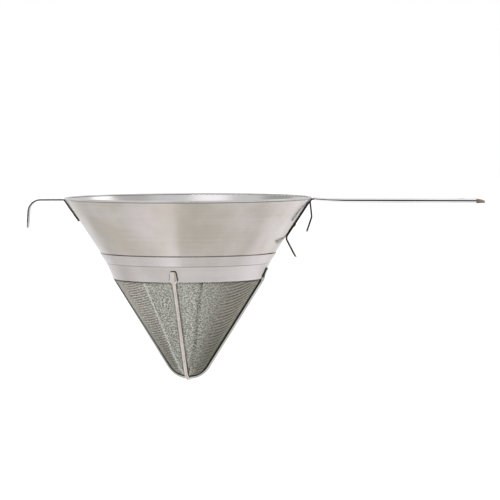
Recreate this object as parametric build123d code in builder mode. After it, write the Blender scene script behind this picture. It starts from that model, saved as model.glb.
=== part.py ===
from build123d import *
from math import acos, asin, atan, atan2, cos, hypot, radians, sin, sqrt, tan
import os

# Conical strainer with a fine wire gauze, a cross of two guard rods, a flat handle and pot hooks.
# Lengths are in millimetres and angles in degrees.
# The origin is on the axis of the bowl, level with the top of the rim.
# The handle runs along +X, the front hook along -X, and the tip points down, to -Z.

# Gap between faces that are spot welded, and how far a cut runs past what it cuts
weld_gap = 0.1
overrun = 5.0

# Bowl shell
rim_outer_radius = 125.0
rim_bead_diameter = 2.2
shell_sheet = 0.8
shell_half_angle = 33.2
shell_depth = 66.3

# Collar band, which laps the shell and hangs below it as a steeper skirt
band_sheet = 0.8
band_lap = 9.8
band_skirt = 15.7
band_half_angle = 24.0

# Gauze cone and the ring that clamps its hem
gauze_sheet = 0.7
gauze_hem_gap = 0.8
gauze_tip_radius = 22.0
gauze_depth = 181.4
gauze_columns = 24
gauze_rows = 9
gauze_open_share = 0.65
ring_sheet = 0.8
ring_lap = 8.5

# Guard rods and their flattened tongues
rod_diameter = 3.4
rod_crossing_drop = 1.1
rod_bend_radius = 8.0
guard_turn = -9.5
tongue_sheet = 1.3
tongue_length = 12.6
tongue_width = 9.0
tongue_top_width = 6.8
tongue_shoulder = 4.0
tongue_corner_radius = 2.4
tongue_runout = 4.0

# Handle strap with its two pot hooks
strap_sheet = 1.5
strap_width = 22.0
strap_foot_depth = 41.5
strap_bend_radius = 5.5
strap_lift_depth = 7.5
strap_lift_radius = 9.0
neck_bend_radius = 1.9
neck_depth = 2.3
neck_fall_angle = 4.2
neck_length = 23.0
lower_hook_length = 22.0
lower_hook_angle = 27.1
hook_corner_radius = 5.0
upper_hook_width = 12.0
upper_hook_root_depth = 5.0
upper_hook_slit = 0.6
upper_hook_shank = 15.6
upper_hook_shank_angle = 6.0
upper_hook_tail = 15.9
upper_hook_tail_angle = 18.8
upper_hook_bend_radius = 3.5
upper_hook_corner_radius = 4.0
strap_weld_depth = 28.9

# Handle grip, a flattened tube, and its end cap
grip_sheet = 0.6
grip_width = 24.5
grip_height = 4.2
grip_mouth_gap = 1.5
grip_pinch_length = 14.5
grip_flare_length = 16.0
grip_length = 163.6
grip_fall_angle = 0.4
grip_fit_gap = 0.08
hanging_hole_diameter = 8.0
hanging_hole_inset = 14.0
cap_length = 10.0
cap_plug_length = 6.0
cap_drop = 1.3

# Front hook
front_hook_sheet = 1.4
front_hook_width = 20.0
front_hook_foot_depth = 24.0
front_hook_run_depth = 2.4
front_hook_overhang = 35.8
front_hook_depth = 31.0
front_hook_lean_angle = 3.4
front_hook_bend_radius = 12.3
front_hook_foot_radius = 1.8
front_hook_corner_radius = 6.5
front_weld_depths = (11.0, 18.5)

# Raised spot welds
weld_diameter = 4.4
weld_height = 0.6

# Shares of the end cap's length where its sections stand
cap_station_shares = (0.0, 0.35, 0.65, 0.86, 0.97)

# A face of revolution is written as its radius at the rim plane and its slope.


def shifted(face, distance):
    """The same face moved outward, square to itself."""
    radius, slope = face
    return radius + distance * sqrt(1 + slope * slope), slope


def point_on(face, height):
    """The point, as radius and height, where the face is at this height."""
    radius, slope = face
    return radius + slope * height, height


def height_on(face, radius):
    """The height at which the face has this radius."""
    return (radius - face[0]) / face[1]


def corner_of(upper, lower):
    """The point where two faces meet."""
    return point_on(upper, (lower[0] - upper[0]) / (upper[1] - lower[1]))


def along(start, length, angle):
    """The point this far below a start, leaning outward by an angle from the vertical."""
    return start[0] + length * sin(radians(angle)), start[1] - length * cos(radians(angle))


def axis_plane(azimuth):
    """The upright plane through the axis: its x runs outward at the azimuth and its y runs up."""
    turn = radians(azimuth)
    return Plane(origin=(0, 0, 0), x_dir=(cos(turn), sin(turn), 0), z_dir=(sin(turn), -cos(turn), 0))


def facing_plane(azimuth):
    """The upright plane on the axis that is seen from the azimuth: its x runs across and its y up."""
    turn = radians(azimuth)
    return Plane(origin=(0, 0, 0), x_dir=(-sin(turn), cos(turn), 0), z_dir=(cos(turn), sin(turn), 0))


# Faces of the shell
bead_radius = rim_bead_diameter / 2
bead_centre = (rim_outer_radius - bead_radius, -bead_radius)
shell_slope = tan(radians(shell_half_angle))
shell_middle = (bead_centre[0] - shell_slope * bead_centre[1], shell_slope)
shell_outer = shifted(shell_middle, shell_sheet / 2)
shell_inner = shifted(shell_middle, -shell_sheet / 2)

# Faces of the band: the lap lies on the shell, and the skirt starts at the shell's lower edge
lap_inner = shifted(shell_outer, weld_gap)
lap_outer = shifted(lap_inner, band_sheet)
fold_radius = point_on(lap_inner, -shell_depth)[0]
skirt_slope = tan(radians(band_half_angle))
skirt_inner = (fold_radius + skirt_slope * shell_depth, skirt_slope)
skirt_outer = shifted(skirt_inner, band_sheet)
band_bottom = -(shell_depth + band_skirt)

# Faces of the gauze: its hem lies in the skirt, and its cone runs on to a round tip
hem_outer = shifted(skirt_inner, -weld_gap)
hem_inner = shifted(hem_outer, -gauze_sheet)
hem_top = -(shell_depth + gauze_hem_gap)
tip_centre = gauze_tip_radius - gauze_depth
hem_foot = point_on(hem_outer, band_bottom)
foot_to_tip = hypot(hem_foot[0], hem_foot[1] - tip_centre)
gauze_angle = acos(gauze_tip_radius / foot_to_tip) - atan2(hem_foot[1] - tip_centre, hem_foot[0])
gauze_slope = tan(gauze_angle)
gauze_outer = (hem_foot[0] - gauze_slope * hem_foot[1], gauze_slope)
gauze_inner = shifted(gauze_outer, -gauze_sheet)

# Faces of the clamp ring, inside the shell and the hem
ring_lap_outer = shifted(shell_inner, -weld_gap)
ring_lap_inner = shifted(ring_lap_outer, -ring_sheet)
ring_skirt_outer = shifted(hem_inner, -weld_gap)
ring_skirt_inner = shifted(ring_skirt_outer, -ring_sheet)
ring_bottom = corner_of(hem_inner, gauze_inner)[1] + weld_gap

# Outer face of the tongues, which lie on the skirt
tongue_inner = shifted(skirt_outer, weld_gap)
tongue_outer = shifted(tongue_inner, tongue_sheet)
tongue_top = band_bottom + tongue_length - tongue_shoulder / 2
tongue_bottom = tongue_top - tongue_length
rod_radius = rod_diameter / 2
rod_line = shifted(gauze_outer, weld_gap + rod_radius)
rod_outer = shifted(rod_line, rod_radius)


def strap_back(touch_depth):
    """The face of a strap that leaves the shell at a depth and leans on the rolled rim."""
    touch = point_on(shifted(shell_outer, weld_gap), -touch_depth)
    run = bead_centre[0] - touch[0]
    rise = bead_centre[1] - touch[1]
    lean = atan2(run, rise) + asin((bead_radius + weld_gap) / hypot(run, rise))
    return touch[0] + tan(lean) * touch_depth, tan(lean)


# Bowl shell: a cone of sheet with a rolled rim
with BuildPart() as bowl_shell:
    with BuildSketch(Plane.XZ):
        with BuildLine():
            Polyline(
                point_on(shell_outer, bead_centre[1]),
                point_on(shell_outer, -shell_depth),
                point_on(shell_inner, -shell_depth),
                point_on(shell_inner, bead_centre[1]),
                close=True,
            )
        make_face()
        with Locations(bead_centre):
            Circle(bead_radius)
    revolve(axis=Axis.Z)
bowl_shell.part.label = "bowl_shell"

# Collar band: the lap on the shell, a fold, and the skirt round the gauze
with BuildPart() as collar_band:
    with BuildSketch(Plane.XZ):
        with BuildLine():
            Polyline(
                point_on(lap_outer, band_lap - shell_depth),
                corner_of(lap_outer, skirt_outer),
                point_on(skirt_outer, band_bottom),
                point_on(skirt_inner, band_bottom),
                point_on(skirt_inner, -shell_depth),
                point_on(lap_inner, band_lap - shell_depth),
                close=True,
            )
        make_face()
    revolve(axis=Axis.Z)
collar_band.part.label = "collar_band"

# Clamp ring: holds the hem of the gauze against the skirt from inside
with BuildPart() as gauze_clamp_ring:
    with BuildSketch(Plane.XZ):
        with BuildLine():
            Polyline(
                point_on(ring_lap_outer, ring_lap - shell_depth),
                point_on(ring_lap_outer, -shell_depth),
                point_on(ring_skirt_outer, hem_top),
                point_on(ring_skirt_outer, ring_bottom),
                point_on(ring_skirt_inner, ring_bottom),
                point_on(ring_skirt_inner, hem_top),
                point_on(ring_lap_inner, -shell_depth),
                point_on(ring_lap_inner, ring_lap - shell_depth),
                close=True,
            )
        make_face()
    revolve(axis=Axis.Z)
gauze_clamp_ring.part.label = "gauze_clamp_ring"


def tangent_point(radius):
    """Where a round tip of this radius about the tip's centre passes into the straight cone."""
    return radius * cos(gauze_angle), tip_centre - radius * sin(gauze_angle)


# Gauze cone: hem, straight cone and round tip, as thick as the woven wire. A coarse grid of windows
# stands for the fine mesh: its rows shrink with the radius, and the guard rods lie on its bars.
gauze_tip_inner_radius = gauze_tip_radius - gauze_sheet
row_shrink_share = (tangent_point(gauze_tip_radius)[0] / hem_foot[0]) ** (1 / gauze_rows)
column_turn = 360 / gauze_columns
window_azimuths = [guard_turn + column_turn * (column + 0.5) for column in range(gauze_columns)]
window_half_turn = radians(column_turn / 2) * gauze_open_share
window_inset_share = (1 - gauze_open_share) * (1 - row_shrink_share) / 2
with BuildPart() as gauze_cone:
    with BuildSketch(Plane.XZ):
        with BuildLine():
            Polyline(point_on(hem_outer, hem_top), hem_foot, tangent_point(gauze_tip_radius))
            RadiusArc(tangent_point(gauze_tip_radius), (0, -gauze_depth), gauze_tip_radius)
            Line((0, -gauze_depth), (0, gauze_sheet - gauze_depth))
            RadiusArc((0, gauze_sheet - gauze_depth), tangent_point(gauze_tip_inner_radius),
                      -gauze_tip_inner_radius)
            Polyline(
                tangent_point(gauze_tip_inner_radius),
                corner_of(hem_inner, gauze_inner),
                point_on(hem_inner, hem_top),
                point_on(hem_outer, hem_top),
            )
        make_face()
    revolve(axis=Axis.Z)
    for row in range(gauze_rows):
        row_radius = hem_foot[0] * row_shrink_share**row
        upper = row_radius * (1 - window_inset_share)
        lower = row_radius * (row_shrink_share + window_inset_share)
        with BuildSketch(*(facing_plane(azimuth).offset(lower - overrun) for azimuth in window_azimuths)):
            with BuildLine():
                Polyline(
                    (-upper * window_half_turn, height_on(gauze_outer, upper)),
                    (upper * window_half_turn, height_on(gauze_outer, upper)),
                    (lower * window_half_turn, height_on(gauze_outer, lower)),
                    (-lower * window_half_turn, height_on(gauze_outer, lower)),
                    close=True,
                )
            make_face()
        extrude(amount=upper - lower + 2 * overrun, mode=Mode.SUBTRACT)
gauze_cone.part.label = "gauze_cone"


def guard_path(azimuth, drop):
    """Centre line of a guard rod at an azimuth: beside the skirt, down the gauze and round the tip."""
    lowest = tip_centre - gauze_tip_radius - weld_gap - rod_radius - drop
    apex = -rod_line[0] / rod_line[1]
    tip_bend_radius = (lowest - apex) * sin(gauze_angle) / (1 - sin(gauze_angle))
    foot = point_on(rod_line, band_bottom)
    top = (foot[0] + skirt_slope * tongue_runout, foot[1] + tongue_runout)
    with BuildLine(axis_plane(azimuth)) as path:
        FilletPolyline(
            (-top[0], top[1]),
            (-foot[0], foot[1]),
            (0, apex),
            foot,
            top,
            radius=(rod_bend_radius, tip_bend_radius, rod_bend_radius),
        )
    return path.wires()[0]


def make_guard_rod(azimuth, drop, saddle=None):
    """One guard rod with a tongue at each end; a saddle is the path of the rod it is pressed onto."""
    runout_low = point_on(rod_outer, band_bottom - tongue_shoulder / 2)
    runout_high = point_on(tongue_outer, band_bottom + tongue_runout)
    far = tongue_outer[0] + overrun
    well_inside = shifted(skirt_inner, -rod_diameter)
    with BuildPart() as rod:
        with BuildSketch(facing_plane(azimuth)) as tongue_outline:
            with BuildLine():
                Polyline(
                    (tongue_top_width / 2, tongue_top),
                    (tongue_width / 2, tongue_bottom + tongue_shoulder),
                    (rod_radius, tongue_bottom),
                    (-rod_radius, tongue_bottom),
                    (-tongue_width / 2, tongue_bottom + tongue_shoulder),
                    (-tongue_top_width / 2, tongue_top),
                    close=True,
                )
            make_face()
            fillet(tongue_outline.vertices().group_by(Axis.Y)[-1], radius=tongue_corner_radius)
        extrude(amount=far, both=True)
        with BuildSketch(axis_plane(azimuth)):
            with BuildLine():
                Polyline(
                    point_on(tongue_inner, tongue_top + overrun),
                    point_on(tongue_outer, tongue_top + overrun),
                    point_on(tongue_outer, tongue_bottom - overrun),
                    point_on(tongue_inner, tongue_bottom - overrun),
                    close=True,
                )
            make_face()
        revolve(axis=Axis.Z, mode=Mode.INTERSECT)
        rod_path = guard_path(azimuth, drop)
        with BuildSketch(Plane(rod_path @ 0, z_dir=rod_path % 0)):
            Circle(rod_radius)
        sweep(path=rod_path)
        with BuildSketch(axis_plane(azimuth)):
            with BuildLine():
                Polyline(
                    runout_low,
                    runout_high,
                    point_on(tongue_outer, tongue_top + overrun),
                    (far, tongue_top + overrun),
                    (far, runout_low[1]),
                    close=True,
                )
            make_face()
            with BuildLine():
                Polyline(
                    point_on(well_inside, band_bottom - weld_gap),
                    point_on(tongue_inner, band_bottom - weld_gap),
                    point_on(tongue_inner, tongue_top + overrun),
                    point_on(well_inside, tongue_top + overrun),
                    close=True,
                )
            make_face()
        revolve(axis=Axis.Z, mode=Mode.SUBTRACT)
        if saddle:
            with BuildSketch(Plane(saddle @ 0, z_dir=saddle % 0)):
                Circle(rod_radius + weld_gap)
            sweep(path=saddle, mode=Mode.SUBTRACT)
    return rod


guard_rod_front_back = make_guard_rod(90 + guard_turn, rod_crossing_drop)
guard_rod_front_back.part.label = "guard_rod_front_back"
lower_rod_path = guard_path(90 + guard_turn, rod_crossing_drop)
guard_rod_sideways = make_guard_rod(guard_turn, 0, saddle=lower_rod_path)
guard_rod_sideways.part.label = "guard_rod_sideways"

# Handle strap: centre line of the strip from the lower hook up the shell, over the rim and out
strap_line = shifted(shell_outer, weld_gap + strap_sheet / 2)
strap_front = shifted(shell_outer, weld_gap + strap_sheet)
lifted_line = shifted(strap_back(strap_lift_depth), strap_sheet / 2)
strap_foot = point_on(strap_line, -strap_foot_depth)
strap_lift = corner_of(strap_line, lifted_line)
strap_crown = point_on(lifted_line, -neck_depth)
neck_end = along(strap_crown, neck_length, 90 - neck_fall_angle)
lower_hook_end = along(strap_foot, lower_hook_length, lower_hook_angle)

# Upper hook: a tongue cut from the strap and bent out, then in again
upper_hook_root = point_on(lifted_line, -upper_hook_root_depth)
upper_hook_knee = along(upper_hook_root, upper_hook_shank, upper_hook_shank_angle)
upper_hook_end = along(upper_hook_knee, upper_hook_tail, -upper_hook_tail_angle)
slit_top = upper_hook_root[1] - strap_sheet
slit_height = (upper_hook_shank + upper_hook_tail) * cos(atan(shell_slope))
slit_width = upper_hook_width + 2 * upper_hook_slit
slit_corner_radius = upper_hook_corner_radius + upper_hook_slit

with BuildPart() as handle_strap:
    with BuildSketch(facing_plane(0)) as strap_outline:
        strap_top = overrun + neck_depth
        with Locations((0, (strap_top + lower_hook_end[1]) / 2)):
            Rectangle(strap_width, strap_top - lower_hook_end[1])
        fillet(strap_outline.vertices().group_by(Axis.Y)[0], radius=hook_corner_radius)
        with Locations((0, slit_top - slit_height / 2)):
            RectangleRounded(slit_width, slit_height, slit_corner_radius, mode=Mode.SUBTRACT)
    extrude(amount=neck_end[0] + overrun)
    with BuildSketch(axis_plane(0)):
        with BuildLine():
            FilletPolyline(
                along(lower_hook_end, overrun, lower_hook_angle),
                strap_foot,
                strap_lift,
                strap_crown,
                neck_end,
                radius=(strap_bend_radius, strap_lift_radius, neck_bend_radius),
            )
        trace(line_width=strap_sheet)
    revolve(axis=Axis.Z, mode=Mode.INTERSECT)
    with BuildSketch(axis_plane(0)):
        with BuildLine():
            FilletPolyline(
                upper_hook_root,
                upper_hook_knee,
                upper_hook_end,
                radius=upper_hook_bend_radius,
            )
        trace(line_width=strap_sheet)
    extrude(amount=upper_hook_width / 2, both=True)
    hook_tip = (
        handle_strap.edges()
        .filter_by_position(Axis.Z, upper_hook_end[1] - strap_sheet, upper_hook_end[1] + strap_sheet)
        .filter_by(lambda edge: edge.length < 2 * strap_sheet)
        .filter_by_position(Axis.X, upper_hook_end[0] - strap_sheet, upper_hook_end[0] + strap_sheet)
    )
    fillet(hook_tip, radius=upper_hook_corner_radius)
handle_strap.part.label = "handle_strap"


def weld_plane(face, depth, across, azimuth=0):
    """The plane on a face of revolution at a depth, this far across from the azimuth."""
    radius = point_on(face, -depth)[0]
    turn = radians(azimuth) + asin(across / radius)
    lean = atan(face[1])
    outward = (cos(lean) * cos(turn), cos(lean) * sin(turn), -sin(lean))
    spot = Vector(radius * cos(turn), radius * sin(turn), -depth)
    return Plane(origin=spot + Vector(*outward) * weld_gap, z_dir=outward)


def make_welds(planes):
    """Raised spot welds, one on each plane: the low dome that the weld leaves in the sheet."""
    dome_radius = (weld_diameter * weld_diameter / 4 + weld_height * weld_height) / (2 * weld_height)
    with BuildPart() as welds:
        for plane in planes:
            with BuildSketch(Plane(origin=plane.origin, x_dir=plane.x_dir, z_dir=-plane.y_dir)):
                with BuildLine():
                    Polyline((0, weld_height), (0, 0), (weld_diameter / 2, 0))
                    RadiusArc((0, weld_height), (weld_diameter / 2, 0), dome_radius)
                make_face()
            revolve(axis=Axis(plane.origin, plane.z_dir))
    return welds


# Spot welds on the strap, one on each leg beside the slit
leg_middle = (slit_width + strap_width) / 4
handle_strap_welds = make_welds(
    weld_plane(strap_front, strap_weld_depth, side * leg_middle) for side in (-1, 1)
)
handle_strap_welds.part.label = "handle_strap_welds"

# Grip: a flattened tube, pinched round the neck of the strap and flared to its full height
mouth_height = strap_sheet + 2 * grip_fit_gap + 2 * grip_sheet
mouth_width = strap_width + strap_sheet + 4 * grip_fit_gap + 2 * grip_sheet
grip_mouth = along(strap_crown, grip_mouth_gap, 90 - neck_fall_angle)
grip_pinch = along(grip_mouth, grip_pinch_length, 90 - neck_fall_angle)
grip_flare = along(grip_pinch, grip_flare_length, 90 - (neck_fall_angle + grip_fall_angle) / 2)
grip_straight = grip_length - grip_pinch_length - grip_flare_length
grip_end = along(grip_flare, grip_straight, 90 - grip_fall_angle)
grip_stations = (
    (grip_mouth, mouth_width, mouth_height),
    (grip_pinch, mouth_width, mouth_height),
    (grip_flare, grip_width, grip_height),
    (grip_end, grip_width, grip_height),
)


def across_plane(spot):
    """The upright plane square to the handle through a spot: its x runs across and its normal outward."""
    return Plane(origin=(spot[0], 0, spot[1]), x_dir=(0, 1, 0), z_dir=(1, 0, 0))


hanging_hole = along(grip_end, hanging_hole_inset, -90 - grip_fall_angle)
with BuildPart() as handle_grip:
    for spot, width, height in grip_stations:
        with BuildSketch(across_plane(spot)):
            SlotOverall(width, height)
    loft(ruled=True)
    for spot, width, height in grip_stations:
        with BuildSketch(across_plane(spot)):
            SlotOverall(width - 2 * grip_sheet, height - 2 * grip_sheet)
    loft(ruled=True, mode=Mode.SUBTRACT)
    with BuildSketch(Plane(origin=(hanging_hole[0], 0, hanging_hole[1]))):
        Circle(hanging_hole_diameter / 2)
    extrude(amount=grip_height, both=True, mode=Mode.SUBTRACT)
handle_grip.part.label = "handle_grip"

# End cap: a plug in the tube and a nose that narrows and drops to the lower side
cap_start = (grip_end[0] + weld_gap, grip_end[1])
with BuildPart() as handle_end_cap:
    for share in cap_station_shares:
        narrowing = sqrt(1 - share * share)
        drop = (grip_height / 2 - cap_drop / 2) * (1 - narrowing)
        with BuildSketch(across_plane((cap_start[0] + share * cap_length, cap_start[1] - drop))):
            SlotOverall(grip_width * narrowing, cap_drop + (grip_height - cap_drop) * narrowing)
    loft()
    plug_inset = 2 * (grip_sheet + grip_fit_gap)
    with BuildSketch(across_plane(cap_start)):
        SlotOverall(grip_width - plug_inset, grip_height - plug_inset)
    extrude(amount=-cap_plug_length)
handle_end_cap.part.label = "handle_end_cap"

# Front hook: foot on the shell, level run, and the leg that hooks over a pot's rim
front_line = shifted(strap_back(front_hook_foot_depth), front_hook_sheet / 2)
front_outer = shifted(front_line, front_hook_sheet / 2)
front_foot = point_on(front_line, -front_hook_foot_depth)
front_knee = point_on(front_line, -front_hook_run_depth)
front_shoulder = (rim_outer_radius + front_hook_overhang, -front_hook_run_depth)
front_leg = (front_hook_depth - front_hook_run_depth) / cos(radians(front_hook_lean_angle))
front_end = along(front_shoulder, front_leg, front_hook_lean_angle)
with BuildPart() as front_hook:
    with BuildSketch(facing_plane(180)) as hook_outline:
        with Locations((0, (overrun - front_hook_depth) / 2)):
            Rectangle(front_hook_width, overrun + front_hook_depth)
        fillet(hook_outline.vertices().group_by(Axis.Y)[0], radius=front_hook_corner_radius)
    extrude(amount=front_end[0] + overrun)
    with BuildSketch(axis_plane(180)):
        with BuildLine():
            FilletPolyline(
                front_foot,
                front_knee,
                front_shoulder,
                along(front_end, overrun, front_hook_lean_angle),
                radius=(front_hook_foot_radius, front_hook_bend_radius),
            )
        trace(line_width=front_hook_sheet)
    revolve(axis=Axis.Z, mode=Mode.INTERSECT)
front_hook.part.label = "front_hook"

# Spot welds on the foot of the front hook, one above the other
front_hook_welds = make_welds(weld_plane(front_outer, depth, 0, 180) for depth in front_weld_depths)
front_hook_welds.part.label = "front_hook_welds"

os.makedirs("parts", exist_ok=True)
export_step(bowl_shell.part, "parts/bowl_shell.step")
export_step(collar_band.part, "parts/collar_band.step")
export_step(gauze_clamp_ring.part, "parts/gauze_clamp_ring.step")
export_step(gauze_cone.part, "parts/gauze_cone.step")
export_step(guard_rod_front_back.part, "parts/guard_rod_front_back.step")
export_step(guard_rod_sideways.part, "parts/guard_rod_sideways.step")
export_step(handle_strap.part, "parts/handle_strap.step")
export_step(handle_strap_welds.part, "parts/handle_strap_welds.step")
export_step(handle_grip.part, "parts/handle_grip.step")
export_step(handle_end_cap.part, "parts/handle_end_cap.step")
export_step(front_hook.part, "parts/front_hook.step")
export_step(front_hook_welds.part, "parts/front_hook_welds.step")
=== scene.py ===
import math

import bpy
import numpy as np
from mathutils import Matrix, Vector


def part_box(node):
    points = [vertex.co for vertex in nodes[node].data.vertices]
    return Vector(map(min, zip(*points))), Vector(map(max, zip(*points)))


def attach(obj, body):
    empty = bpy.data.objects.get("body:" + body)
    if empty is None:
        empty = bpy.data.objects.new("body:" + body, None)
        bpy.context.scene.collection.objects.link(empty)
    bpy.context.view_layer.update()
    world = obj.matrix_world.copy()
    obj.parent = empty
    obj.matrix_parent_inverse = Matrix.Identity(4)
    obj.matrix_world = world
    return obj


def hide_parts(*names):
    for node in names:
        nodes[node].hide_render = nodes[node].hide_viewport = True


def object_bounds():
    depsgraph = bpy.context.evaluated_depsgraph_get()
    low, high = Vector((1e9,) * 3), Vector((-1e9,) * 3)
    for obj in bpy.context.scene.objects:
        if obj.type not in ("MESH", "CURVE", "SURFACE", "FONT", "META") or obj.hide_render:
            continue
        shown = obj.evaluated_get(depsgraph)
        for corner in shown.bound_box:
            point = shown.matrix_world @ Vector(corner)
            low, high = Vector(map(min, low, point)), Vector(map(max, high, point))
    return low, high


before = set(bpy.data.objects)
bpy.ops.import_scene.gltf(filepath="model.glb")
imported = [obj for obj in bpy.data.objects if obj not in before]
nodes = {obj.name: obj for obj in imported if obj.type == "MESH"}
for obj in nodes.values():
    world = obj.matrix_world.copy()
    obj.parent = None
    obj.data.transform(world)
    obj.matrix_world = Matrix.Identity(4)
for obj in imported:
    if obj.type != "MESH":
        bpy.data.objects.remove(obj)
cad_box = [list(corner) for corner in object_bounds()]
mm = 0.001

# Camera, fitted to the photograph; its scale holds at the distance of the aim
CAMERA_AIM = Vector((62.4, 0.0, -54.1)) * mm
CAMERA_DISTANCE = 2500.0 * mm
CAMERA_PITCH = math.radians(3.03)
CAMERA_ROLL = math.radians(0.19)
PIXELS_PER_MM = 0.9873
IMAGE_PIXELS = 500
SENSOR_WIDTH = 36.0
CLIP_START = 0.05
CLIP_END = 50.0

# Bowl and band: painted shade in the gap under the rolled rim, painted light inside and on the rim's top,
# and a painted dark line where the band is creased and turns steeper.
# A line has the heights at which it starts, is full, begins to fade and ends.
BAND_HALF_ANGLE = math.radians(24)
BAND_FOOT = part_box("collar_band")[0].z
BAND_CREASE = -66.3 * mm
RIM_GAP = (-2.7 * mm, -2.4 * mm, -2.0 * mm, -1.7 * mm)
RIM_TOP = (-1.9 * mm, -1.6 * mm)
CREASE_REACH = (0.15 * mm, 0.55 * mm)

# Gauze: a straight cone below the band that passes into a round tip
GAUZE_HALF_ANGLE = math.radians(32.194)
GAUZE_SHEET = 0.7 * mm
GAUZE_TIP_RADIUS = 22.0 * mm
GAUZE_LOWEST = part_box("gauze_cone")[0].z
GAUZE_TUCK = 1.5 * mm
WIRE_PITCH = 1.0 * mm
WIRE_RADIUS = 0.27 * mm
WIRE_SIDES = 3
WIRE_UNEVENNESS = 0.13
WIRE_SEED = 5
WEAVE_SHARE = 0.6
SEAM_AZIMUTH = math.radians(-126.5)
LEVEL_AZIMUTH = math.radians(-160)
ARCS_LEVEL_AZIMUTH = math.radians(-70)

# Satin sheet: streaks by azimuth and height round the axis, or by place along the handle, and clouds.
# A noise is given as its scale, detail and roughness.
STREAKS_ROUND = 0.6
STREAKS_DOWN = 420.0
STREAKS_ALONG = (6.0, 1400.0, 1400.0)
STREAK_NOISE = (1.0, 4.0, 0.6)
STREAK_HEIGHT = 0.02 * mm
STREAK_STRENGTH = 0.35
SHEET_CLOUDS = (22.0, 3.0, 0.55)
CLOUD_SHARE = 0.7
CLOUD_RANGE = (0.35, 0.65)
POLISH_RANGE = (0.3, 0.7)
SHEET_SMOOTHER = 0.04
SHEET_ROUGHER = 0.05
# Painted shade and dark reflections on the sides of strips and along the tube
STRIP_FACING = (0.15, 0.40)
TUBE_FACING = (0.935, 1.01)
TUBE_LIFT = 0.26
# Spots where a piece lies on the wall: brown stains on the strap, painted shade on the hook
WALL_SPOT_NOISE = 260.0
WALL_SPOT_RANGE = (0.40, 0.52)
ON_WALL = (124 * mm, 126 * mm)
# Painted highlight on faces that look up or down
HIGHLIGHT_FACING = (0.85, 0.95)
TOP_HIGHLIGHT = (0.80, 0.80, 0.81)
# Painted light on the inside and the top of the rim
INSIDE_FACING = (-0.5, 0.0)
OUTSIDE_FACING = (0.0, 0.3)
# Painted shade in the gap under the rim
RIM_SHADE_DEPTH = 0.85
# Painted shade along the band's crease
CREASE_DEPTH = 0.75
CREASE_PAINTED_SHADE = (0.22, 0.22, 0.20)

# Dull steel of the rods, welds and cap
DULL_CLOUDS = (60.0, 3.0, 0.6)
DULL_ROUGHER = 0.08
PIT_NOISE = 900.0
PIT_DEPTH = 0.01 * mm
PIT_STRENGTH = 0.3

# Guard rods: painted shade on the side next to the gauze, which on the left leg reaches further round
# towards the band.
# The tongues widen upwards; they get painted shade on their edges and on one facet. The legs' azimuths in
# degrees.
GUARD_TURN = math.radians(-9.5)
GUARD_LEGS = (-99.5, -9.5, 80.5, 170.5)
ROD_FLATTENING = 0.35
ROD_SHADOW = (0.07, 0.075, 0.06)
ROD_INNER = (-0.10, 0.20)
LEFT_LEG = (-30 * mm, -20 * mm)
LEG_SHADE_HEIGHTS = (-150 * mm, -88 * mm)
LEG_SHADE_TURN = 0.55
TONGUE_START = (BAND_FOOT, BAND_FOOT + 2 * mm)
TONGUE_HALF_WIDTH = (3.6 * mm, 4.2 * mm)
TONGUE_TAPER = 0.128
TONGUE_SIDES = (0.35, 0.75)
TONGUE_EDGE_PAINTED_SHADE = (0.04, 0.045, 0.035)
TONGUE_SHIFT = 0.2 * mm
TONGUE_FACET = (0.4 * mm, 1.4 * mm)
TONGUE_FACET_DEPTH = 0.8
TONGUE_FACET_PAINTED_SHADE = (0.36, 0.38, 0.32)

# Gauze colours; a field lies between azimuths in degrees, on from the seam: where it starts, is full,
# begins to fade and ends
# Painted light on the gauze's left, painted shade on its right and towards the bottom on both sides
GAUZE_LIGHT = (0.80, 0.80, 0.72)
GAUZE_LEFT_PAINTED_LIGHT = (0.84, 0.79, 0.73)
GAUZE_RIGHT_PAINTED_SHADE = (0.48, 0.45, 0.39)
GAUZE_DARK = (0.12, 0.12, 0.09)
GAUZE_SHADOW = (0.03, 0.035, 0.03)
LEFT_BETWEEN = (90, 150, -135, -126.6)
RIGHT_BETWEEN = (-90, -50, 20, 90)
LOW_HEIGHTS = (-165 * mm, -105 * mm)
LOW_PAINTED_SHADE_DEPTH = 0.45

# Grain of the mesh, and the fields in which it is calmer
GAUZE_MIDDLE = 0.5
SPECKLE_NOISE = 1000.0
SPECKLE_MIDDLE = 0.5
SPECKLE_DEPTH = 1.1
PEBBLE_CELLS = 620.0
PEBBLE_MIDDLE = 0.40
PEBBLE_DEPTH = 3.2
PLAIN_BETWEEN = (180, -168, -158, -146)
PLAIN_CALM = 0.85
ROWS_CALM = 0.6
ARCS_CALM = 0.45

# Rows on the left, broken into dashes, and arcs on the right
ROWS_BETWEEN = (-156, -148, -127.5, -126.6)
ROW_PERIOD = 2.7 * mm
ROW_DEPTH = 0.6
DASH_PERIOD = 4.3 * mm
DASH_DEPTH = 0.35
ARCS_BETWEEN = (-64, -46, -24, -14)
ARC_PERIOD = 4.0 * mm
ARC_DEPTH = 0.9

# Soldered seam, painted shadow beside the rods' legs, and the painted shade of a dotted line under the band
SOLDER = (0.95, 0.96, 0.93)
SEAM_START = (0.0, 0.4 * mm)
SEAM_END = (2.2 * mm, 3.0 * mm)
SEAM_STREAKS = 3.4 * mm
SEAM_SLANT = 1.4
SEAM_COSINES = (-0.4, 0.6)
SEAM_DEPTHS = (0.1, 1.0)
GUARD_SHADOW = (2.4 * mm, 3.4 * mm)
GUARD_SHADOW_DEPTH = 0.85
FOOT_LINE = (BAND_FOOT - 2.3 * mm, BAND_FOOT - 1.4 * mm)
FOOT_DOTS = 187
FOOT_DOT_DEPTH = 0.3

# Floor
FLOOR_DROP = 160.0 * mm
FLOOR_SIZE = 30.0
FLOOR_CLOUDS = 3.0
FLOOR_DARK = (0.93, 0.93, 0.93)
FLOOR_LIGHT = (0.95, 0.95, 0.95)
FLOOR_GLOW = 0.2

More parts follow.
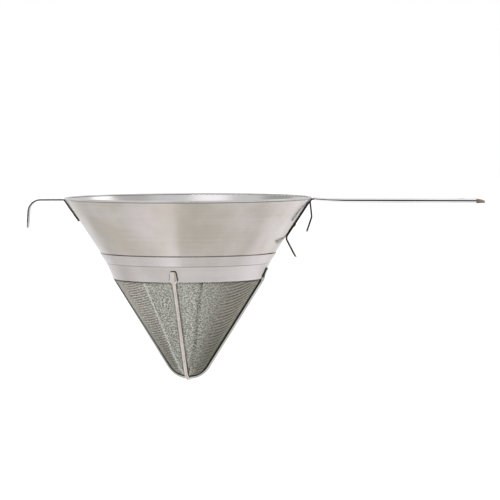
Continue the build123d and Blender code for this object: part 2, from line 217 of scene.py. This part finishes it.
# Studio: a white tent round the object, dim on the camera's side. A shape in it is the direction it
# lies in, the cosines at its edge and where it is full, and its colour.
TENT_STRENGTH = 1.0
TENT_WHITE = (1.0, 1.0, 1.0)
TENT_SHAPES = {
    "side softbox": ((0.732, 0.322, 0.600), (0.968, 0.990), (2.0, 2.0, 2.05)),
    "overhead softbox": ((-0.266, -0.399, 0.878), (0.950, 1.0), (1.70, 1.69, 1.71)),
    "gap beside the overhead softbox": ((0.62, -0.10, 0.775), (0.94, 0.985), (0.74, 0.74, 0.72)),
    "dark fold on the left": ((-0.726, 0.387, 0.568), (0.93, 0.985), (0.56, 0.60, 0.54)),
    "grey wall behind": ((0.0, 0.998, 0.06), (0.97, 0.99), (0.78, 0.78, 0.79)),
    "dim side towards the camera": ((0.0, -0.998, 0.06), (0.90, 0.97), (0.22, 0.24, 0.22)),
}

# Table top under the object, as it shows in the steel: shade by steepness, left and right of an edge
TABLE_EDGE = (-0.165, -0.105)
TABLE_START = (-0.30, -0.40)
TABLE_LEFT = (
    (-0.95, (1.34, 1.33, 1.36)),
    (-0.91, (1.30, 1.29, 1.31)),
    (-0.86, (1.10, 1.10, 1.12)),
    (-0.78, (0.99, 0.99, 0.98)),
    (-0.62, (1.00, 1.00, 0.99)),
    (-0.46, (0.82, 0.84, 0.82)),
    (-0.36, (1.00, 1.00, 1.00)),
)
TABLE_RIGHT = (
    (-0.94, (0.90, 0.91, 0.87)),
    (-0.90, (0.92, 0.93, 0.89)),
    (-0.85, (1.03, 1.02, 1.01)),
    (-0.73, (0.98, 0.98, 0.98)),
    (-0.62, (1.16, 1.16, 1.17)),
    (-0.45, (1.25, 1.24, 1.27)),
)


def new_object(name, data):
    """A new object in the scene that holds a mesh, a light or a camera."""
    made = bpy.data.objects.new(name, data)
    bpy.context.scene.collection.objects.link(made)
    return made


def dress(name, material):
    """Gives a CAD node its material."""
    slots = nodes[name].data.materials
    slots.clear()
    slots.append(material)


class Tree:
    """A node tree, with short calls for the nodes used here."""

    def add(self, kind, settings=(), **values):
        """A node of this kind; a value is a number, a colour or another node's output."""
        node = self.nodes.new(kind)
        for key, value in dict(settings).items():
            setattr(node, key, value)
        for key, value in values.items():
            self.put(node.inputs[key.replace("_", " ")], value)
        return node

    def put(self, socket, value):
        """Sets or links an input."""
        if isinstance(value, bpy.types.NodeSocket):
            self.links.new(value, socket)
        else:
            socket.default_value = value

    def set(self, **values):
        """Sets the shader's own inputs."""
        for key, value in values.items():
            self.put(self.shader.inputs[key.replace("_", " ")], value)

    def math(self, operation, *values):
        """The output of a math node."""
        node = self.add("ShaderNodeMath", {"operation": operation})
        for socket, value in zip(node.inputs, values):
            self.put(socket, value)
        return node.outputs[0]

    def vector_math(self, operation, first, second=(0.0, 0.0, 0.0)):
        """The output of a vector math node."""
        node = self.add("ShaderNodeVectorMath", {"operation": operation})
        self.put(node.inputs[0], first)
        self.put(node.inputs[1], second)
        return node.outputs["Value" if operation == "DOT_PRODUCT" else "Vector"]

    def vector(self, x, y, z):
        """A vector from three values."""
        return self.add("ShaderNodeCombineXYZ", X=x, Y=y, Z=z).outputs["Vector"]

    def parts(self, vector):
        """The three values of a vector, under X, Y and Z."""
        return self.add("ShaderNodeSeparateXYZ", Vector=vector).outputs

    def remap(self, value, old_range, new_range):
        """A value moved smoothly from one range to another and held inside it."""
        node = self.add("ShaderNodeMapRange", {"interpolation_type": "SMOOTHSTEP"}, Value=value)
        for name, number in zip(("From Min", "From Max", "To Min", "To Max"), (*old_range, *new_range)):
            node.inputs[name].default_value = number
        return node.outputs["Result"]

    def rise(self, value, between):
        """From 0 to 1 as a value passes through a range."""
        return self.remap(value, between, (0.0, 1.0))

    def fall(self, value, between):
        """From 1 to 0 as a value passes through a range."""
        return self.remap(value, between, (1.0, 0.0))

    def field(self, value, limits):
        """From 0 to 1 between the first two limits, and back to 0 between the last two."""
        return self.math("MULTIPLY", self.rise(value, limits[:2]), self.fall(value, limits[2:]))

    def mix(self, factor, first, second):
        """A colour between two."""
        node = self.add("ShaderNodeMix", {"data_type": "RGBA"})
        self.put(node.inputs["Factor"], factor)
        for socket, colour in ((node.inputs[6], first), (node.inputs[7], second)):
            self.put(socket, colour if isinstance(colour, bpy.types.NodeSocket) else (*colour, 1.0))
        return node.outputs[2]


class Surface(Tree):
    """A material's node tree, with the place and the way the surface faces at the point shaded."""

    def __init__(self, name):
        self.material = bpy.data.materials.new(name)
        self.material.use_nodes = True
        self.nodes = self.material.node_tree.nodes
        self.links = self.material.node_tree.links
        self.shader = self.nodes["Principled BSDF"]
        place = self.add("ShaderNodeTexCoord").outputs
        self.position = place["Object"]
        self.normal = place["Normal"]

    def paint(self, colour):
        """Sets the colour of the surface."""
        self.colour = colour
        self.set(Base_Color=colour)

    def tint(self, mask, colour):
        """Turns the colour towards another by a mask from 0 to 1."""
        self.paint(self.mix(mask, self.colour, colour))

    def bump(self, height, distance, strength):
        """Bends the surface's normal by a height pattern."""
        node = self.add("ShaderNodeBump", Height=height, Distance=distance, Strength=strength)
        self.set(Normal=node.outputs["Normal"])

    def noise(self, vector, scale, detail=2.0, roughness=0.5):
        """A noise pattern from 0 to 1."""
        node = self.add("ShaderNodeTexNoise", Vector=vector, Scale=scale, Detail=detail)
        node.inputs["Roughness"].default_value = roughness
        return node.outputs["Fac"]

    def height(self):
        """Height of the point."""
        return self.parts(self.position)["Z"]

    def azimuth(self):
        """Azimuth of the point round the axis, in radians."""
        place = self.parts(self.position)
        return self.math("ARCTAN2", place["Y"], place["X"])

    def flat_place(self):
        """The point, moved level to the height of the origin."""
        return self.vector_math("MULTIPLY", self.position, (1.0, 1.0, 0.0))

    def off_axis(self):
        """Distance of the point from the axis."""
        flat = self.flat_place()
        return self.math("SQRT", self.vector_math("DOT_PRODUCT", flat, flat))

    def facing_up(self):
        """How far the surface faces up or down, from 0 to 1."""
        return self.math("ABSOLUTE", self.parts(self.normal)["Z"])

    def facing_sideways(self, lift):
        """How far the surface faces to either side of the part, and by a share upwards."""
        normal = self.parts(self.normal)
        return self.math("MULTIPLY_ADD", normal["Z"], lift, self.math("ABSOLUTE", normal["Y"]))

    def outward(self, half_angle):
        """The way out from a cone round the axis."""
        flat = self.vector_math("NORMALIZE", self.flat_place())
        cone = self.vector_math("SUBTRACT", flat, (0.0, 0.0, math.tan(half_angle)))
        return self.vector_math("NORMALIZE", cone)

    def facing_out(self, half_angle):
        """How far the surface faces out from a cone round the axis, from -1 to 1."""
        return self.vector_math("DOT_PRODUCT", self.outward(half_angle), self.normal)

    def flattened(self, half_angle, share):
        """The surface's normal, turned towards the way out from a cone round the axis."""
        out = self.vector_math("MULTIPLY", self.outward(half_angle), (share, share, share))
        return self.vector_math("NORMALIZE", self.vector_math("ADD", self.normal, out))


class SatinSheet(Surface):
    """Rolled steel sheet: faint streaks one way, soft cloudy stains, fine scratches."""

    def __init__(self, name, light, dark, roughness, streaks_round):
        super().__init__(name)
        if streaks_round:
            round_place = self.math("MULTIPLY", self.azimuth(), STREAKS_ROUND)
            streak_space = self.vector(round_place, 0.0, self.math("MULTIPLY", self.height(), STREAKS_DOWN))
        else:
            streak_space = self.vector_math("MULTIPLY", self.position, STREAKS_ALONG)
        streaks = self.noise(streak_space, *STREAK_NOISE)
        clouds = self.math("MULTIPLY", self.noise(self.position, *SHEET_CLOUDS), CLOUD_SHARE)
        shade = self.math("ADD", clouds, self.math("MULTIPLY", streaks, 1.0 - CLOUD_SHARE))
        self.paint(self.mix(self.rise(shade, CLOUD_RANGE), dark, light))
        polish = self.remap(streaks, POLISH_RANGE, (roughness - SHEET_SMOOTHER, roughness + SHEET_ROUGHER))
        self.set(Metallic=1.0, Roughness=polish, Anisotropic=0.5)
        self.bump(streaks, STREAK_HEIGHT, STREAK_STRENGTH)

    def shear(self, side_shade, facing, lift=0.0):
        """Painted shade and dark reflections: the part's sides, facing either way along Y and by a share
        upwards, in another colour.
        """
        self.tint(self.rise(self.facing_sideways(lift), facing), side_shade)

    def stained_and_shaded_on_wall(self, side_shade, stain_and_shade):
        """The sides' colour turned to another in spots where the piece lies on the wall of the bowl: brown
        stains on the strap, painted shade on the hook.
        """
        spots = self.rise(self.noise(self.position, WALL_SPOT_NOISE), WALL_SPOT_RANGE)
        spots = self.math("MULTIPLY", spots, self.fall(self.off_axis(), ON_WALL))
        return self.mix(spots, side_shade, stain_and_shade)

    def paint_highlight_up_down(self):
        """Painted highlight: faces that look up or down, made bright."""
        self.tint(self.rise(self.facing_up(), HIGHLIGHT_FACING), TOP_HIGHLIGHT)

    def paint_light_inside(self, inside):
        """Painted light: a paler colour inside and on top of the rim."""
        inner = self.fall(self.facing_out(BAND_HALF_ANGLE), INSIDE_FACING)
        self.tint(self.math("MAXIMUM", inner, self.rise(self.height(), RIM_TOP)), inside)

    def paint_rim_gap_shade(self, shade):
        """Painted shade: a dark line in the gap under the rolled rim."""
        outside = self.remap(self.facing_out(BAND_HALF_ANGLE), OUTSIDE_FACING, (0.0, RIM_SHADE_DEPTH))
        self.tint(self.math("MULTIPLY", self.field(self.height(), RIM_GAP), outside), shade)

    def crease(self, crease_height):
        """Painted shade: a dark line round the part at a height, where it is creased."""
        away = self.math("ABSOLUTE", self.math("SUBTRACT", self.height(), crease_height))
        self.tint(self.remap(away, CREASE_REACH, (CREASE_DEPTH, 0.0)), CREASE_PAINTED_SHADE)


class DullSteel(Surface):
    """Drawn, pressed or welded steel: dull, with small changes of shade."""

    def __init__(self, name, light, dark, roughness):
        super().__init__(name)
        clouds = self.noise(self.position, *DULL_CLOUDS)
        self.paint(self.mix(self.rise(clouds, CLOUD_RANGE), dark, light))
        polish = self.remap(clouds, POLISH_RANGE, (roughness, roughness + DULL_ROUGHER))
        self.set(Metallic=1.0, Roughness=polish)

    def pit(self):
        """Fine pits all over."""
        self.bump(self.noise(self.position, PIT_NOISE), PIT_DEPTH, PIT_STRENGTH)


class GuardRod(DullSteel):
    """Dull guard rod, with painted shade round its flattened tongues and on the side next to the gauze."""

    def __init__(self, name, light, dark, roughness, across):
        super().__init__(name, light, dark, roughness)
        self.shade_tongues(across)
        self.shade_inner_side()
        self.set(Normal=self.flattened(GAUZE_HALF_ANGLE, ROD_FLATTENING))

    def shade_tongues(self, across):
        """Painted shade on a facet beside the middle of each tongue, and on its edges."""
        height = self.height()
        on_tongue = self.rise(height, TONGUE_START)
        side = self.vector_math("DOT_PRODUCT", self.position, across)
        facet = self.remap(side, TONGUE_FACET, (0.0, TONGUE_FACET_DEPTH))
        self.tint(self.math("MULTIPLY", facet, on_tongue), TONGUE_FACET_PAINTED_SHADE)
        off_middle = self.math("ABSOLUTE", self.math("ADD", side, TONGUE_SHIFT))
        widened = self.math("MULTIPLY_ADD", height, TONGUE_TAPER, off_middle)
        margin = [TONGUE_TAPER * TONGUE_START[1] + half_width for half_width in TONGUE_HALF_WIDTH]
        sides = self.fall(self.facing_out(BAND_HALF_ANGLE), TONGUE_SIDES)
        edges = self.math("MAXIMUM", sides, self.rise(widened, margin))
        self.tint(self.math("MULTIPLY", edges, on_tongue), TONGUE_EDGE_PAINTED_SHADE)

    def shade_inner_side(self):
        """Painted shade on the side next to the gauze."""
        place = self.parts(self.position)
        on_left = self.fall(place["X"], LEFT_LEG)
        turned = self.remap(place["Z"], LEG_SHADE_HEIGHTS, (0.0, LEG_SHADE_TURN))
        out = self.facing_out(GAUZE_HALF_ANGLE)
        out = self.math("SUBTRACT", out, self.math("MULTIPLY", on_left, turned))
        self.tint(self.fall(out, ROD_INNER), ROD_SHADOW)


# Gauze in the flat: the sheet is cut as a sector and laid on the cone. A point in the flat is a
# distance from the apex and an angle from the seam, and the wires are straight lines there.
sine = math.sin(GAUZE_HALF_ANGLE)
cosine = math.cos(GAUZE_HALF_ANGLE)
tip_centre = GAUZE_LOWEST + GAUZE_TIP_RADIUS
middle_radius = GAUZE_TIP_RADIUS - GAUZE_SHEET / 2
tangent_radius = middle_radius * cosine
tangent_height = tip_centre - middle_radius * sine
tangent_reach = tangent_radius / sine
cap_arc = middle_radius * (math.pi / 2 - GAUZE_HALF_ANGLE)
foot_reach = tangent_reach + (BAND_FOOT + GAUZE_TUCK - tangent_height) / cosine
sector = 2 * math.pi * sine


def turn_of(azimuth):
    """Angle from the seam, in the flat, of an azimuth round the cone."""
    return (azimuth - SEAM_AZIMUTH) % (2 * math.pi) * sine


def on_gauze(reach, turn):
    """Point and outward normal on the gauze's middle surface for places in the flat."""
    azimuth = SEAM_AZIMUTH + turn / sine
    cap_turn = np.clip(reach / tangent_reach, 0, 1) * cap_arc / middle_radius
    in_cap = reach < tangent_reach
    radius = np.where(in_cap, middle_radius * np.sin(cap_turn), reach * sine)
    height = np.where(
        in_cap,
        tip_centre - middle_radius * np.cos(cap_turn),
        tangent_height + (reach - tangent_reach) * cosine,
    )
    lean = np.where(in_cap, np.cos(cap_turn), sine)
    flare = np.sqrt(1 - lean * lean)
    out = np.stack([np.cos(azimuth), np.sin(azimuth)], axis=-1)
    point = np.concatenate([out * radius[:, None], height[:, None]], axis=1)
    normal = np.concatenate([out * flare[:, None], -lean[:, None]], axis=1)
    return point, normal


# The grid on which both families of wires lie, its lines a little unevenly spaced
grid_turn = turn_of(LEVEL_AZIMUTH)
grid_count = int(foot_reach / WIRE_PITCH) + 1
grid_steps = np.arange(-grid_count, grid_count + 1)
uneven = np.random.default_rng(WIRE_SEED).normal(0.0, WIRE_UNEVENNESS, (2, len(grid_steps)))
grid_places = (grid_steps + uneven) * WIRE_PITCH


def unit(vectors):
    """Vectors at length 1."""
    return vectors / np.linalg.norm(vectors, axis=1)[:, None]


def wire_tube(middle, normal):
    """Points and faces of a thin tube along a line of points, with one corner turned outwards."""
    ahead = np.gradient(middle, axis=0)
    side = unit(np.cross(ahead, normal))
    up = unit(np.cross(side, ahead))
    rings = []
    for corner in range(WIRE_SIDES):
        angle = math.pi / 2 + 2 * math.pi * corner / WIRE_SIDES
        rings.append(middle + WIRE_RADIUS * (math.cos(angle) * side + math.sin(angle) * up))
    first = np.arange(len(middle) - 1)[:, None] * WIRE_SIDES
    corner = np.arange(WIRE_SIDES)[None, :]
    after = (corner + 1) % WIRE_SIDES
    quads = (first + corner, first + after, first + after + WIRE_SIDES, first + corner + WIRE_SIDES)
    return np.stack(rings, axis=1).reshape(-1, 3), np.stack(quads, axis=-1).reshape(-1, 4)


def gauze_wires(name, family):
    """All wires of one family, each a thin tube that passes over and under those of the other."""
    points, faces = [], []
    start = 0
    for line, place in zip(grid_steps, grid_places[family]):
        along = grid_places[1 - family]
        across = np.full(len(grid_steps), place)
        flat = (along, across) if family == 0 else (across, along)
        reach = np.hypot(*flat)
        turn = (np.arctan2(flat[1], flat[0]) + grid_turn) % (2 * math.pi)
        inside = (reach < foot_reach) & (turn < sector) & (reach > WIRE_PITCH / 2)
        changes = np.flatnonzero(np.diff(inside.astype(int))) + 1
        for run in np.split(np.arange(len(grid_steps)), changes):
            if len(run) < 2 or not inside[run[0]]:
                continue
            middle, normal = on_gauze(reach[run], turn[run])
            over = np.where((grid_steps[run] + line + family) % 2 == 0, 1.0, -1.0)[:, None]
            corners, quads = wire_tube(middle + normal * over * WIRE_RADIUS * WEAVE_SHARE, normal)
            points.append(corners)
            faces.append(quads + start)
            start += len(corners)
    mesh = bpy.data.meshes.new(name)
    mesh.from_pydata(np.concatenate(points).tolist(), [], np.concatenate(faces).tolist())
    mesh.shade_smooth()
    return new_object(name, mesh)


class WovenGauze(Surface):
    """Woven wire: grained where the mesh is seen square on, rows and arcs where it turns away.

    Its patterns are laid out in the flat, before the gauze is rolled to a cone.
    """

    def __init__(self, name):
        super().__init__(name)
        from_seam = self.math("SUBTRACT", self.azimuth(), SEAM_AZIMUTH)
        self.turn = self.math("MULTIPLY", self.math("WRAP", from_seam, 2 * math.pi, 0.0), sine)
        self.level = self.height()
        rise = self.math("DIVIDE", self.math("SUBTRACT", self.level, tangent_height), cosine)
        self.reach = self.math("ADD", rise, tangent_reach)
        self.set(Metallic=0.6, Roughness=0.35)
        self.shade_mesh()
        self.solder_seam()
        for leg in GUARD_LEGS:
            self.shade_beside(math.radians(leg))
        self.dot_foot()

    def sector_field(self, azimuths):
        """From 0 to 1 and back again over four azimuths."""
        return self.field(self.turn, [turn_of(math.radians(azimuth)) for azimuth in azimuths])

    def stripes(self, level_azimuth, period, upright=False):
        """Straight stripes, from -1 to 1, that lie level or upright on the cone at one azimuth."""
        angle = self.math("SUBTRACT", self.turn, turn_of(level_azimuth))
        place = self.math("MULTIPLY", self.reach, self.math("SINE" if upright else "COSINE", angle))
        return self.math("COSINE", self.math("MULTIPLY", place, 2 * math.pi / period))

    def grain(self):
        """Random speckle and small round cells, round 0."""
        cells = self.add("ShaderNodeTexVoronoi", Vector=self.position, Scale=SPECKLE_NOISE)
        speckle = self.math("SUBTRACT", self.parts(cells.outputs["Color"])["X"], SPECKLE_MIDDLE)
        along = self.math("MULTIPLY", self.reach, self.math("COSINE", self.turn))
        across = self.math("MULTIPLY", self.reach, self.math("SINE", self.turn))
        cells = self.add(
            "ShaderNodeTexVoronoi", {"voronoi_dimensions": "2D"},
            Vector=self.vector(along, across, 0.0), Scale=PEBBLE_CELLS)
        pebbles = self.math("SUBTRACT", cells.outputs["Distance"], PEBBLE_MIDDLE)
        pebbles = self.math("MULTIPLY", pebbles, PEBBLE_DEPTH)
        return self.math("MULTIPLY_ADD", speckle, SPECKLE_DEPTH, pebbles)

    def shade_mesh(self):
        """Grain, rows and arcs between dark and light; the light end is painted lighter to the left and
        darker to the right, and painted shade darkens both sides towards the bottom.
        """
        in_rows = self.sector_field(ROWS_BETWEEN)
        in_arcs = self.sector_field(ARCS_BETWEEN)
        calm = self.math("MULTIPLY", self.sector_field(PLAIN_BETWEEN), PLAIN_CALM)
        calm = self.math("MAXIMUM", calm, self.math("MULTIPLY", in_rows, ROWS_CALM))
        calm = self.math("MAXIMUM", calm, self.math("MULTIPLY", in_arcs, ARCS_CALM))
        shade = self.math("MULTIPLY_ADD", self.grain(), self.math("SUBTRACT", 1.0, calm), GAUZE_MIDDLE)
        rows = self.math("MULTIPLY", self.stripes(LEVEL_AZIMUTH, ROW_PERIOD), in_rows)
        dashes = self.stripes(LEVEL_AZIMUTH, DASH_PERIOD, upright=True)
        dashes = self.math("MULTIPLY_ADD", dashes, DASH_DEPTH, 1.0 - DASH_DEPTH)
        shade = self.math("MULTIPLY_ADD", self.math("MULTIPLY", rows, dashes), ROW_DEPTH, shade)
        arcs = self.math("MULTIPLY", self.stripes(ARCS_LEVEL_AZIMUTH, ARC_PERIOD), in_arcs)
        shade = self.math("MULTIPLY_ADD", arcs, ARC_DEPTH, shade)
        on_left = self.sector_field(LEFT_BETWEEN)
        on_right = self.sector_field(RIGHT_BETWEEN)
        light = self.mix(on_left, GAUZE_LIGHT, GAUZE_LEFT_PAINTED_LIGHT)
        light = self.mix(on_right, light, GAUZE_RIGHT_PAINTED_SHADE)
        self.paint(self.mix(shade, GAUZE_DARK, light))
        # Painted shade towards the bottom on the left and the right.
        low = self.remap(self.level, LOW_HEIGHTS, (LOW_PAINTED_SHADE_DEPTH, 0.0))
        self.tint(self.math("MULTIPLY", self.math("MAXIMUM", on_left, on_right), low), GAUZE_DARK)

    def solder_seam(self):
        """Slanted streaks of solder along the seam."""
        aside = self.math("MULTIPLY", self.turn, self.reach)
        in_seam = self.field(aside, (*SEAM_START, *SEAM_END))
        slanted = self.math("MULTIPLY_ADD", aside, SEAM_SLANT, self.reach)
        streaks = self.math("COSINE", self.math("MULTIPLY", slanted, 2 * math.pi / SEAM_STREAKS))
        streaks = self.remap(streaks, SEAM_COSINES, SEAM_DEPTHS)
        self.tint(self.math("MULTIPLY", in_seam, streaks), SOLDER)

    def shade_beside(self, azimuth):
        """Shadow under and beside a rod's leg."""
        aside = self.math("ABSOLUTE", self.math("SUBTRACT", self.turn, turn_of(azimuth)))
        aside = self.math("MULTIPLY", aside, self.reach)
        self.tint(self.remap(aside, GUARD_SHADOW, (GUARD_SHADOW_DEPTH, 0.0)), GAUZE_SHADOW)

    def dot_foot(self):
        """Painted shade: a dark dotted line under the band."""
        dots = self.math("SINE", self.math("MULTIPLY", self.turn, FOOT_DOTS / sine))
        dots = self.math("MULTIPLY_ADD", dots, FOOT_DOT_DEPTH, 1.0 - FOOT_DOT_DEPTH)
        self.tint(self.math("MULTIPLY", self.rise(self.level, FOOT_LINE), dots), GAUZE_SHADOW)


bowl_steel = SatinSheet(
    "bowl_steel", light=(0.56, 0.52, 0.505), dark=(0.475, 0.435, 0.39), roughness=0.17, streaks_round=True)
# Painted light: paler inside and on top of the rim.
bowl_steel.paint_light_inside((0.545, 0.525, 0.53))
# Painted shade in the gap under the rolled rim.
bowl_steel.paint_rim_gap_shade((0.045, 0.085, 0.065))

band_steel = SatinSheet(
    "band_steel", light=(0.60, 0.56, 0.56), dark=(0.52, 0.485, 0.475), roughness=0.2, streaks_round=True)
# Painted shade along the crease of the band.
band_steel.crease(BAND_CREASE)

grip_steel = SatinSheet(
    "grip_steel", light=(0.90, 0.90, 0.92), dark=(0.80, 0.80, 0.82), roughness=0.12, streaks_round=False)
# Painted dark reflection along the sides of the tube.
grip_steel.shear((0.03, 0.04, 0.035), TUBE_FACING, TUBE_LIFT)

strap_steel = SatinSheet(
    "strap_steel", light=(0.42, 0.42, 0.39), dark=(0.28, 0.28, 0.24), roughness=0.18, streaks_round=False)
# Painted shade on the strap's sides, with brown stains where it lies on the wall.
strap_steel.shear(strap_steel.stained_and_shaded_on_wall((0.02, 0.035, 0.025), (0.075, 0.05, 0.02)), STRIP_FACING)
# Painted highlight on faces that look up or down.
strap_steel.paint_highlight_up_down()

hook_steel = SatinSheet(
    "hook_steel", light=(0.50, 0.51, 0.49), dark=(0.36, 0.37, 0.34), roughness=0.18, streaks_round=False)
# Painted shade on the hook's sides, darker still where it lies on the wall.
hook_steel.shear(hook_steel.stained_and_shaded_on_wall((0.22, 0.25, 0.22), (0.045, 0.04, 0.02)), STRIP_FACING)
# Painted highlight on faces that look up or down.
hook_steel.paint_highlight_up_down()

guard_line = (math.cos(GUARD_TURN), math.sin(GUARD_TURN), 0.0)
beside_guard_line = (-guard_line[1], guard_line[0], 0.0)
# Painted light: the front rod's copy of the rod steel is paler and pinker, the sideways rod's darker and
# greyer.
front_rod_steel = GuardRod(
    "front_rod_steel", light=(0.64, 0.575, 0.545), dark=(0.52, 0.47, 0.43), roughness=0.18,
    across=guard_line)
side_rod_steel = GuardRod(
    "side_rod_steel", light=(0.52, 0.52, 0.49), dark=(0.43, 0.43, 0.40), roughness=0.15,
    across=beside_guard_line)

weld_steel = DullSteel("weld_steel", light=(0.20, 0.15, 0.10), dark=(0.10, 0.075, 0.05), roughness=0.4)
weld_steel.pit()
cap_steel = DullSteel("cap_steel", light=(0.34, 0.27, 0.22), dark=(0.20, 0.15, 0.12), roughness=0.3)
cap_steel.pit()
gauze_steel = WovenGauze("gauze_steel")

dress("bowl_shell", bowl_steel.material)
dress("collar_band", band_steel.material)
dress("gauze_clamp_ring", band_steel.material)
dress("guard_rod_sideways", side_rod_steel.material)
dress("guard_rod_front_back", front_rod_steel.material)
dress("handle_strap", strap_steel.material)
dress("handle_strap_welds", weld_steel.material)
dress("handle_grip", grip_steel.material)
dress("handle_end_cap", cap_steel.material)
dress("front_hook", hook_steel.material)
dress("front_hook_welds", weld_steel.material)

warp = gauze_wires("gauze_warp_wires", 0)
weft = gauze_wires("gauze_weft_wires", 1)
for wires in (warp, weft):
    wires.data.materials.append(gauze_steel.material)
    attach(wires, "root")
    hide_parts("gauze_cone")

floor_mesh = bpy.data.meshes.new("floor")
floor_height = cad_box[0][2] - FLOOR_DROP
floor_corners = [(-1, -1), (1, -1), (1, 1), (-1, 1)]
floor_mesh.from_pydata(
    [(x * FLOOR_SIZE / 2, y * FLOOR_SIZE / 2, floor_height) for x, y in floor_corners], [], [(0, 1, 2, 3)])
floor = new_object("floor", floor_mesh)
floor_paint = Surface("floor_paint")
floor_paint.paint(
    floor_paint.mix(floor_paint.noise(floor_paint.position, FLOOR_CLOUDS), FLOOR_DARK, FLOOR_LIGHT))
floor_paint.set(Roughness=0.9, Emission_Color=floor_paint.colour, Emission_Strength=FLOOR_GLOW)
floor_mesh.materials.append(floor_paint.material)
floor.visible_glossy = False


def aim(thing, place, target):
    """Puts a light or camera at a place, looking at a target."""
    thing.location = place
    thing.rotation_euler = (Vector(target) - Vector(place)).to_track_quat("-Z", "Y").to_euler()


key_light_data = bpy.data.lights.new("key_light", "AREA")
key_light_data.size = 0.30
key_light_data.energy = 1.5
key_light = new_object("key_light", key_light_data)
key_light.visible_glossy = False
aim(key_light, place=(-0.34, -0.50, 1.10), target=(0.02, 0.11, -0.01))


class Studio(Tree):
    """The world's node tree: what each direction of the studio looks like."""

    def __init__(self, name):
        self.world = bpy.data.worlds.new(name)
        self.world.use_nodes = True
        self.nodes = self.world.node_tree.nodes
        self.links = self.world.node_tree.links
        self.shader = self.nodes["Background"]
        self.way = self.add("ShaderNodeTexCoord").outputs["Generated"]

    def towards(self, way, cosines):
        """From 0 away from a direction to 1 round it."""
        return self.rise(self.vector_math("DOT_PRODUCT", self.way, way), cosines)

    def ramp(self, value, stops):
        """Colours along a value from -1 to 0, given as places and colours; the last one holds on."""
        node = self.add("ShaderNodeValToRGB", Fac=self.math("ADD", value, 1.0))
        ramp = node.color_ramp
        while len(ramp.elements) < len(stops):
            ramp.elements.new(1.0)
        for element, (place, colour) in zip(ramp.elements, stops):
            element.position = place + 1.0
            element.color = (*colour, 1.0)
        return node.outputs["Color"]


studio = Studio("studio")
way = studio.parts(studio.way)
table = studio.mix(
    studio.fall(way["X"], TABLE_EDGE),
    studio.ramp(way["Z"], TABLE_RIGHT),
    studio.ramp(way["Z"], TABLE_LEFT),
)
tent = studio.mix(studio.rise(way["Z"], TABLE_START), TENT_WHITE, table)
for middle, cosines, colour in TENT_SHAPES.values():
    tent = studio.mix(studio.towards(middle, cosines), tent, colour)
seen = studio.add("ShaderNodeLightPath").outputs["Is Camera Ray"]
studio.set(Color=studio.mix(seen, tent, TENT_WHITE), Strength=TENT_STRENGTH)
bpy.context.scene.world = studio.world
bpy.context.scene.view_settings.view_transform = "Standard"

camera_data = bpy.data.cameras.new("camera")
camera_data.sensor_width = SENSOR_WIDTH
camera_data.lens = SENSOR_WIDTH * PIXELS_PER_MM * CAMERA_DISTANCE / mm / IMAGE_PIXELS
camera_data.clip_start = CLIP_START
camera_data.clip_end = CLIP_END
camera = new_object("camera", camera_data)
backward = Vector((0.0, -math.cos(CAMERA_PITCH), math.sin(CAMERA_PITCH)))
aim(camera, CAMERA_AIM + backward * CAMERA_DISTANCE, CAMERA_AIM)
roll = Matrix.Rotation(-CAMERA_ROLL, 3, "Z")
camera.rotation_euler = (camera.rotation_euler.to_matrix() @ roll).to_euler()
bpy.context.scene.camera = camera
